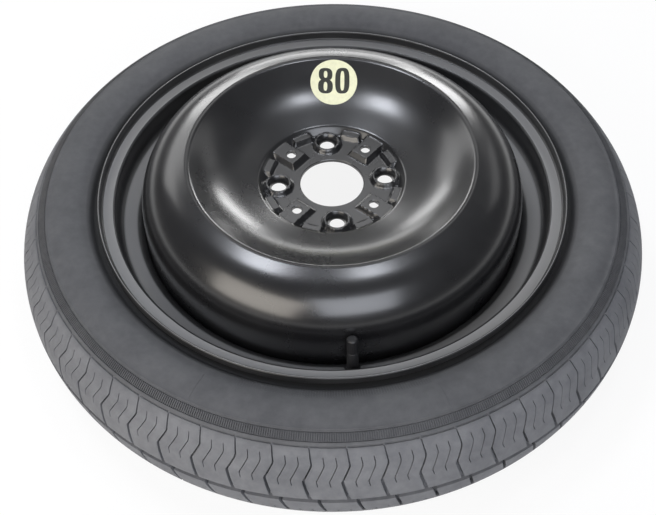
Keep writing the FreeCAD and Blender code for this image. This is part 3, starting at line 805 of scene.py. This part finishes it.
def print_ring(centre, outer, inner, power, lift):
    """One printed stroke: the band between two superellipses, |x/a|^n + |y/b|^n = 1, as a thin closed ring."""
    angle = 2 * math.pi * np.arange(72) / 72
    cos, sin = np.cos(angle), np.sin(angle)

    def oval(half):
        scale = (np.abs(cos) ** power + np.abs(sin) ** power) ** (-1 / power)
        return centre[0] + half[0] * cos * scale, centre[1] + half[1] * sin * scale

    outer_x, outer_y = oval(outer)
    inner_x, inner_y = oval(inner)
    share = np.array([0.0, 0.0, 0.33, 0.67, 1.0, 1.0])[:, None]
    rise = np.array([0.34, lift, lift, lift, lift, 0.34])[:, None] + np.zeros(72)
    points = on_dish(inner_x + (outer_x - inner_x) * share, inner_y + (outer_y - inner_y) * share, rise)
    return points.reshape(-1, 3), grid_faces(6, 72)


def number_surface():
    """The printed number, built from three rings: two stacked for the first figure and a tall one for the second."""
    return joined(
        [
            print_ring((-8.0, 8.1), (6.6, 6.2), (1.7, 3.3), 2.6, 0.40),
            print_ring((-8.0, -3.7), (7.1, 7.2), (1.75, 4.4), 2.6, 0.41),
            print_ring((8.2, 1.8), (6.9, 12.7), (1.9, 9.6), 3.0, 0.40),
        ]
    )


# Materials


def add_node(tree, kind, inputs=None, **values):
    """A node with its settings, and its inputs either set or linked from another node's socket."""
    node = tree.nodes.new(kind)
    for name, value in values.items():
        setattr(node, name, value)
    for name, value in (inputs or {}).items():
        socket = node.inputs[name]
        if isinstance(value, bpy.types.NodeSocket):
            tree.links.new(value, socket)
        else:
            socket.default_value = value
    return node


def new_material(name):
    material = bpy.data.materials.new(name)
    material.use_nodes = True
    tree = material.node_tree
    tree.nodes.clear()
    output = add_node(tree, "ShaderNodeOutputMaterial")
    return material, tree, output


def opaque(value):
    return (*value, 1.0)


def radius_of(tree, place):
    """Distance from the wheel's axle line."""
    flat = add_node(tree, "ShaderNodeVectorMath", {0: place, 1: (1.0, 1.0, 0.0)}, operation="MULTIPLY")
    return add_node(tree, "ShaderNodeVectorMath", {0: flat.outputs["Vector"]}, operation="LENGTH").outputs["Value"]


def tyre_rubber():
    """Cured carbon-black rubber, moulded: matt, a little dusty, with a fine grain from the mould, and painted shade
    beside the rim.
    """
    tyre = settings().tyre
    material, tree, output = new_material("tyre_rubber")
    place = add_node(tree, "ShaderNodeTexCoord").outputs["Object"]
    # Cloudy dust over some 60 mm, and streaks of 9 mm
    clouds = add_node(tree, "ShaderNodeTexNoise", {"Vector": place, "Scale": 17.0, "Detail": 4.0, "Roughness": 0.6})
    specks = add_node(tree, "ShaderNodeTexNoise", {"Vector": place, "Scale": 110.0, "Detail": 3.0, "Roughness": 0.65})
    blend = add_node(tree, "ShaderNodeMath", {0: clouds.outputs["Fac"], 1: specks.outputs["Fac"]}, operation="ADD")
    ramp = add_node(tree, "ShaderNodeValToRGB", {"Fac": add_node(tree, "ShaderNodeMath", {0: blend.outputs[0], 1: 0.5}, operation="MULTIPLY").outputs[0]})
    ramp.color_ramp.elements[0].position = 0.36
    ramp.color_ramp.elements[0].color = opaque(tyre.rubber)
    ramp.color_ramp.elements[1].position = 0.66
    ramp.color_ramp.elements[1].color = opaque(tyre.dust)
    # Painted shade: the rubber is nearly black beside the rim, where the gap between the rim's lip and the tyre lies in
    # shade; the sidewall is darker than the tread
    zone = {"Value": radius_of(tree, place), "From Min": 0.2, "From Max": 0.3}
    zone = add_node(tree, "ShaderNodeMapRange", zone).outputs["Result"]
    rim_shade_and_tone = add_node(tree, "ShaderNodeValToRGB", {"Fac": zone})
    stops = rim_shade_and_tone.color_ramp.elements
    # Painted shade: the darkest stop, beside the rim's lip
    stops[0].position, stops[0].color = 0.19, opaque((0.086, 0.086, 0.086))
    stops[1].position, stops[1].color = 0.255, opaque((0.46, 0.46, 0.46))
    for spot, level in ((0.33, 0.55), (0.69, 0.55), (0.74, 1.0)):
        stop = stops.new(spot)
        stop.color = opaque((level, level, level))
    tone = add_node(
        tree, "ShaderNodeMix", {0: 1.0, 6: ramp.outputs["Color"], 7: rim_shade_and_tone.outputs["Color"]},
        data_type="RGBA", blend_type="MULTIPLY",
    )
    rough = add_node(tree, "ShaderNodeMapRange", {"Value": specks.outputs["Fac"], "To Min": 0.62, "To Max": 0.82})
    # Grain of the mould, some 0.7 mm across so that it shows in the render
    grain = add_node(tree, "ShaderNodeTexNoise", {"Vector": place, "Scale": 1400.0, "Detail": 2.0})
    bump = add_node(tree, "ShaderNodeBump", {"Height": grain.outputs["Fac"], "Strength": 0.25, "Distance": 0.0003})
    shader = add_node(
        tree,
        "ShaderNodeBsdfPrincipled",
        {"Base Color": tone.outputs[2], "Roughness": rough.outputs["Result"], "Normal": bump.outputs["Normal"], "IOR": 1.52},
    )
    tree.links.new(shader.outputs["BSDF"], output.inputs["Surface"])
    return material


def black_coat(name, paint, haze, dust, roughness, gloss):
    """Black dip coat on steel sheet: smooth and half glossy, with a faint orange peel and dust on its level faces."""
    material, tree, output = new_material(name)
    place = add_node(tree, "ShaderNodeTexCoord").outputs["Object"]
    clouds = add_node(tree, "ShaderNodeTexNoise", {"Vector": place, "Scale": 14.0, "Detail": 5.0, "Roughness": 0.62})
    ramp = add_node(tree, "ShaderNodeValToRGB", {"Fac": clouds.outputs["Fac"]})
    ramp.color_ramp.elements[0].position = 0.38
    ramp.color_ramp.elements[0].color = opaque(paint)
    ramp.color_ramp.elements[1].position = 0.72
    ramp.color_ramp.elements[1].color = opaque(haze)
    # Dust lies on what is level, in the hub and on the rim: the disc's slopes between them stay clean
    level = add_node(tree, "ShaderNodeSeparateXYZ", {0: add_node(tree, "ShaderNodeNewGeometry").outputs["Normal"]}).outputs["Z"]
    level = add_node(tree, "ShaderNodeMapRange", {"Value": level, "From Min": 0.968, "From Max": 0.986}).outputs["Result"]
    away = add_node(tree, "ShaderNodeMath", {0: radius_of(tree, place), 1: 0.122}, operation="SUBTRACT").outputs[0]
    away = add_node(tree, "ShaderNodeMath", {0: away}, operation="ABSOLUTE").outputs[0]
    away = add_node(tree, "ShaderNodeMapRange", {"Value": away, "From Min": 0.052, "From Max": 0.056}).outputs["Result"]
    dusty = add_node(tree, "ShaderNodeMath", {0: level, 1: away}, operation="MULTIPLY").outputs[0]
    tone = add_node(tree, "ShaderNodeMix", {0: dusty, 6: ramp.outputs["Color"], 7: opaque(dust)}, data_type="RGBA")
    rough = add_node(
        tree, "ShaderNodeMapRange", {"Value": clouds.outputs["Fac"], "To Min": roughness - 0.05, "To Max": roughness + 0.05}
    )
    # Orange peel, waves of some 2.5 mm
    peel = add_node(tree, "ShaderNodeTexNoise", {"Vector": place, "Scale": 400.0, "Detail": 2.0})
    bump = add_node(tree, "ShaderNodeBump", {"Height": peel.outputs["Fac"], "Strength": 0.05, "Distance": 0.0004})
    shader = add_node(
        tree,
        "ShaderNodeBsdfPrincipled",
        {
            "Base Color": tone.outputs[2],
            "Roughness": rough.outputs["Result"],
            "Normal": bump.outputs["Normal"],
            "IOR": 1.5,
            "Coat Weight": gloss,
            "Coat Roughness": 0.2,
            "Coat IOR": 1.55,
        },
    )
    tree.links.new(shader.outputs["BSDF"], output.inputs["Surface"])
    return material


def plain_finish(name, tone, roughness, metallic=0.0, grain=600.0, bump_strength=0.1):
    """A smooth finish with a little mottling: moulded rubber or plastic, turned brass or drawn wire."""
    material, tree, output = new_material(name)
    place = add_node(tree, "ShaderNodeTexCoord").outputs["Object"]
    noise = add_node(tree, "ShaderNodeTexNoise", {"Vector": place, "Scale": grain, "Detail": 3.0})
    ramp = add_node(tree, "ShaderNodeValToRGB", {"Fac": noise.outputs["Fac"]})
    ramp.color_ramp.elements[0].color = opaque(tuple(0.86 * share for share in tone))
    ramp.color_ramp.elements[1].color = opaque(tuple(min(1.0, 1.12 * share) for share in tone))
    rough = add_node(tree, "ShaderNodeMapRange", {"Value": noise.outputs["Fac"], "To Min": roughness - 0.06, "To Max": roughness + 0.06})
    bump = add_node(tree, "ShaderNodeBump", {"Height": noise.outputs["Fac"], "Strength": bump_strength, "Distance": 0.0002})
    shader = add_node(
        tree,
        "ShaderNodeBsdfPrincipled",
        {"Base Color": ramp.outputs["Color"], "Roughness": rough.outputs["Result"], "Normal": bump.outputs["Normal"], "Metallic": metallic},
    )
    tree.links.new(shader.outputs["BSDF"], output.inputs["Surface"])
    return material


# Operators


class BuildPiece:
    bl_options = {"REGISTER", "UNDO"}


class SPAREWHEEL_OT_tyre(BuildPiece, bpy.types.Operator):
    """Build the tyre with its tread, sidewalls and shoulder bands"""

    bl_idname = "sparewheel.tyre"
    bl_label = "Tyre"

    def execute(self, context):
        rubber = tyre_rubber()
        make_piece("tyre_body", *tyre_surface(), rubber, replaces=("tyre",), slot="tyre_rubber")
        make_piece("tyre_ribs", *rib_bands(), rubber, slot="tyre_rubber", sharp=30.0)
        make_piece("tyre_panel_ridges", *panel_ridges(), rubber, slot="tyre_rubber", sharp=30.0)
        return {"FINISHED"}


class SPAREWHEEL_OT_wheel(BuildPiece, bpy.types.Operator):
    """Build the rim, the pressed disc and the welds between them"""

    bl_idname = "sparewheel.wheel"
    bl_label = "Steel wheel"

    def execute(self, context):
        wheel = settings().wheel
        coat = black_coat("black_dip_coat", wheel.paint, wheel.haze, wheel.dust, 0.28, 0.7)
        dull = black_coat("dull_dip_coat", wheel.rim_paint, wheel.rim_haze, wheel.rim_dust, 0.45, 0.3)
        make_piece("steel_rim", *rim_surface(), dull, replaces=("rim",), slot="black_steel")
        make_piece("steel_disc", *disc_surface(), coat, replaces=("wheel_disc",), slot="black_steel")
        make_piece("steel_welds", *weld_surface(), coat, replaces=("weld_beads",), slot="black_steel")
        return {"FINISHED"}


class SPAREWHEEL_OT_valve(BuildPiece, bpy.types.Operator):
    """Build the valve's rubber, stem and cap, and finish its core"""

    bl_idname = "sparewheel.valve"
    bl_label = "Valve"

    def execute(self, context):
        valve = settings().valve
        rubber = plain_finish("valve_rubber", valve.rubber, 0.55, grain=900.0)
        brass = plain_finish("turned_brass", valve.brass, 0.3, metallic=1.0, grain=1500.0, bump_strength=0.04)
        cap = plain_finish("moulded_cap", valve.cap, 0.42, grain=1200.0)
        seal = plain_finish("core_seal", valve.seal, 0.6)
        steel = plain_finish("spring_wire", valve.steel, 0.3, metallic=1.0, grain=2000.0, bump_strength=0.03)
        make_piece("valve_rubber_body", *valve_body_surface(), rubber, replaces=("valve_body",), slot="valve_rubber")
        make_piece("valve_brass_stem", *valve_stem_surface(), brass, replaces=("valve_stem",), slot="brass", sharp=50.0)
        make_piece("valve_dust_cap", *valve_cap_surface(), cap, body="cap", replaces=("valve_cap",), slot="cap_plastic")
        spring = make_piece("valve_core_spring", *core_spring_surface(), steel, replaces=("core_spring",), slot="spring_steel")
        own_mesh(spring)
        finishes = {"core_plug": brass, "core_barrel": brass, "core_pin": brass, "core_gasket": seal, "core_washer": seal}
        for name, finish in finishes.items():
            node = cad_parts[name]
            node.data.materials.clear()
            node.data.materials.append(finish)
        return {"FINISHED"}


class SPAREWHEEL_OT_label(BuildPiece, bpy.types.Operator):
    """Build the round label and its printed number"""

    bl_idname = "sparewheel.label"
    bl_label = "Label"

    def execute(self, context):
        label = settings().label
        sheet = plain_finish("coated_label", label.sheet, 0.45, grain=300.0, bump_strength=0.02)
        ink = plain_finish("printing_ink", label.ink, 0.5, grain=500.0, bump_strength=0.02)
        make_piece("label_sheet", *label_surface(), sheet, replaces=("speed_label",), slot="label")
        make_piece("label_number", *number_surface(), ink, slot="label")
        return {"FINISHED"}


class SPAREWHEEL_OT_stage(bpy.types.Operator):
    """Set up the floor, the lamps, the world and the camera"""

    bl_idname = "sparewheel.stage"
    bl_label = "Stage"

    def execute(self, context):
        build_floor()
        build_lamps()
        build_world()
        build_camera()
        context.scene.view_settings.view_transform = "Standard"
        return {"FINISHED"}


def build_floor():
    """Flat pale floor under the tyre, white to the eye and to reflections, with a faint shadow."""
    material, tree, output = new_material("pale_floor")
    path = add_node(tree, "ShaderNodeLightPath")
    seen = add_node(tree, "ShaderNodeMath", {0: path.outputs["Is Camera Ray"], 1: path.outputs["Is Glossy Ray"]}, operation="MAXIMUM")
    seen = add_node(tree, "ShaderNodeMath", {0: seen.outputs[0], 1: path.outputs["Is Transmission Ray"]}, operation="MAXIMUM")
    share = add_node(tree, "ShaderNodeMath", {0: seen.outputs[0], 1: 0.88}, operation="MULTIPLY")
    paint = add_node(tree, "ShaderNodeBsdfDiffuse", {"Color": (0.9, 0.9, 0.9, 1.0)})
    glow = add_node(tree, "ShaderNodeEmission", {"Color": (1.0, 1.0, 1.0, 1.0), "Strength": 1.0})
    mix = add_node(tree, "ShaderNodeMixShader", {"Fac": share.outputs[0], 1: paint.outputs["BSDF"], 2: glow.outputs["Emission"]})
    tree.links.new(mix.outputs["Shader"], output.inputs["Surface"])
    mesh = bpy.data.meshes.new("floor")
    low = CAD_BOX[0].z - 0.0005
    mesh.from_pydata([(-6, -6, low), (6, -6, low), (6, 6, low), (-6, 6, low)], [], [(0, 1, 2, 3)])
    mesh.materials.append(material)
    floor = bpy.data.objects.new("floor", mesh)
    bpy.context.scene.collection.objects.link(floor)


LAMPS = (
    # name, azimuth from the camera's side, elevation, width, height, radiance, colour
    ("window_left", -42.0, 25.0, 1.75, 1.40, 4.1, "FFF8EE"),
    ("window_right", 13.0, 35.0, 1.45, 1.30, 4.3, "F2F6FF"),
    ("wall_left", -137.0, 29.0, 1.00, 0.70, 2.3, "FFFFFF"),
    ("wall_right", 128.0, 27.0, 1.00, 0.45, 0.8, "FFFFFF"),
    ("back_left", -160.5, 20.0, 0.66, 0.38, 7.4, "FFFFFF"),
    ("back_right", 160.5, 19.0, 0.59, 0.36, 11.0, "FFFFFF"),
    ("backdrop", 180.0, 7.0, 1.20, 0.26, 5.4, "FFFFFF"),
    ("ceiling", 180.0, 53.0, 1.15, 0.45, 1.8, "FFFFFF"),
    ("overhead", -115.0, 71.0, 0.55, 0.42, 18.0, "F2F6FF"),
    ("overhead_right", 115.0, 80.0, 0.40, 0.30, 18.0, "F2F6FF"),
)
LAMP_DISTANCE = 2.2


def build_lamps():
    """Soft rectangular lamps aimed at the wheel's middle, placed by azimuth and elevation round it."""
    for name, azimuth, elevation, width, height, radiance, tone in LAMPS:
        data = bpy.data.lights.new(name, "AREA")
        data.shape = "RECTANGLE"
        data.size = width
        data.size_y = height
        data.energy = radiance * math.pi * width * height
        data.color = linear(tone)
        lamp = bpy.data.objects.new(name, data)
        turn = math.radians(azimuth - 90.0) + settings().stage.turn
        rise = math.radians(elevation)
        away = Vector((math.cos(turn) * math.cos(rise), math.sin(turn) * math.cos(rise), math.sin(rise)))
        lamp.location = away * LAMP_DISTANCE
        lamp.rotation_euler = away.to_track_quat("Z", "Y").to_euler()
        bpy.context.scene.collection.objects.link(lamp)


def build_world():
    """Soft room light: bright overhead, dimmer towards the walls."""
    world = bpy.data.worlds.new("studio")
    bpy.context.scene.world = world
    world.use_nodes = True
    tree = world.node_tree
    tree.nodes.clear()
    place = add_node(tree, "ShaderNodeTexCoord").outputs["Generated"]
    up = add_node(tree, "ShaderNodeSeparateXYZ", {0: place}).outputs["Z"]
    ramp = add_node(tree, "ShaderNodeValToRGB", {"Fac": up})
    ramp.color_ramp.elements[0].position = 0.0
    ramp.color_ramp.elements[0].color = opaque(linear("9A9A9C"))
    ramp.color_ramp.elements[1].position = 0.9
    ramp.color_ramp.elements[1].color = opaque(linear("C4C6CA"))
    back = add_node(tree, "ShaderNodeBackground", {"Color": ramp.outputs["Color"], "Strength": 0.3})
    output = add_node(tree, "ShaderNodeOutputWorld")
    tree.links.new(back.outputs["Background"], output.inputs["Surface"])


def build_camera():
    """Camera solved from the wheel's circles, for a frame of 656 by 515."""
    stage = settings().stage
    data = bpy.data.cameras.new("camera")
    data.sensor_fit = "HORIZONTAL"
    data.sensor_width = 36.0
    data.lens = stage.lens
    data.clip_start = 0.01
    camera = bpy.data.objects.new("camera", data)
    spot = Vector((-stage.aside, -stage.distance * math.cos(stage.elevation), stage.distance * math.sin(stage.elevation)))
    ahead = Vector((0.0, math.cos(stage.pitch), -math.sin(stage.pitch)))
    up = Vector((0.0, math.sin(stage.pitch), math.cos(stage.pitch)))
    right = Vector((1.0, 0.0, 0.0))
    cos, sin = math.cos(stage.roll), math.sin(stage.roll)
    right, up = right * cos + up * sin, up * cos - right * sin
    pose = Matrix((right, up, -ahead)).transposed().to_4x4()
    pose.translation = spot
    lower = Matrix.Translation((0.0, 0.0, -HUB_PLANE * 0.001))
    camera.matrix_world = lower @ Matrix.Rotation(stage.turn, 4, "Z") @ pose
    bpy.context.scene.collection.objects.link(camera)
    bpy.context.scene.camera = camera


class SPAREWHEEL_PT_panel(bpy.types.Panel):
    """Builds the spare wheel's pieces and its stage"""

    bl_label = "Spare wheel"
    bl_idname = "SPAREWHEEL_PT_panel"
    bl_space_type = "VIEW_3D"
    bl_region_type = "UI"
    bl_category = "Spare wheel"

    def draw(self, context):
        for group, operator in (
            ("tyre", SPAREWHEEL_OT_tyre),
            ("wheel", SPAREWHEEL_OT_wheel),
            ("valve", SPAREWHEEL_OT_valve),
            ("label", SPAREWHEEL_OT_label),
            ("stage", SPAREWHEEL_OT_stage),
        ):
            box = self.layout.box()
            box.operator(operator.bl_idname)
            values = getattr(context.scene.spare_wheel, group)
            for name in values.__annotations__:
                box.prop(values, name)


CLASSES = (
    TyreSettings,
    WheelSettings,
    ValveSettings,
    LabelSettings,
    StageSettings,
    SpareWheelSettings,
    SPAREWHEEL_OT_tyre,
    SPAREWHEEL_OT_wheel,
    SPAREWHEEL_OT_valve,
    SPAREWHEEL_OT_label,
    SPAREWHEEL_OT_stage,
    SPAREWHEEL_PT_panel,
)


def register():
    for item in CLASSES:
        bpy.utils.register_class(item)
    bpy.types.Scene.spare_wheel = PointerProperty(type=SpareWheelSettings)


def unregister():
    del bpy.types.Scene.spare_wheel
    for item in reversed(CLASSES):
        bpy.utils.unregister_class(item)


def main():
    register()
    bpy.ops.sparewheel.tyre()
    bpy.ops.sparewheel.wheel()
    bpy.ops.sparewheel.valve()
    bpy.ops.sparewheel.label()
    bpy.ops.sparewheel.stage()


if __name__ == "__main__":
    main()
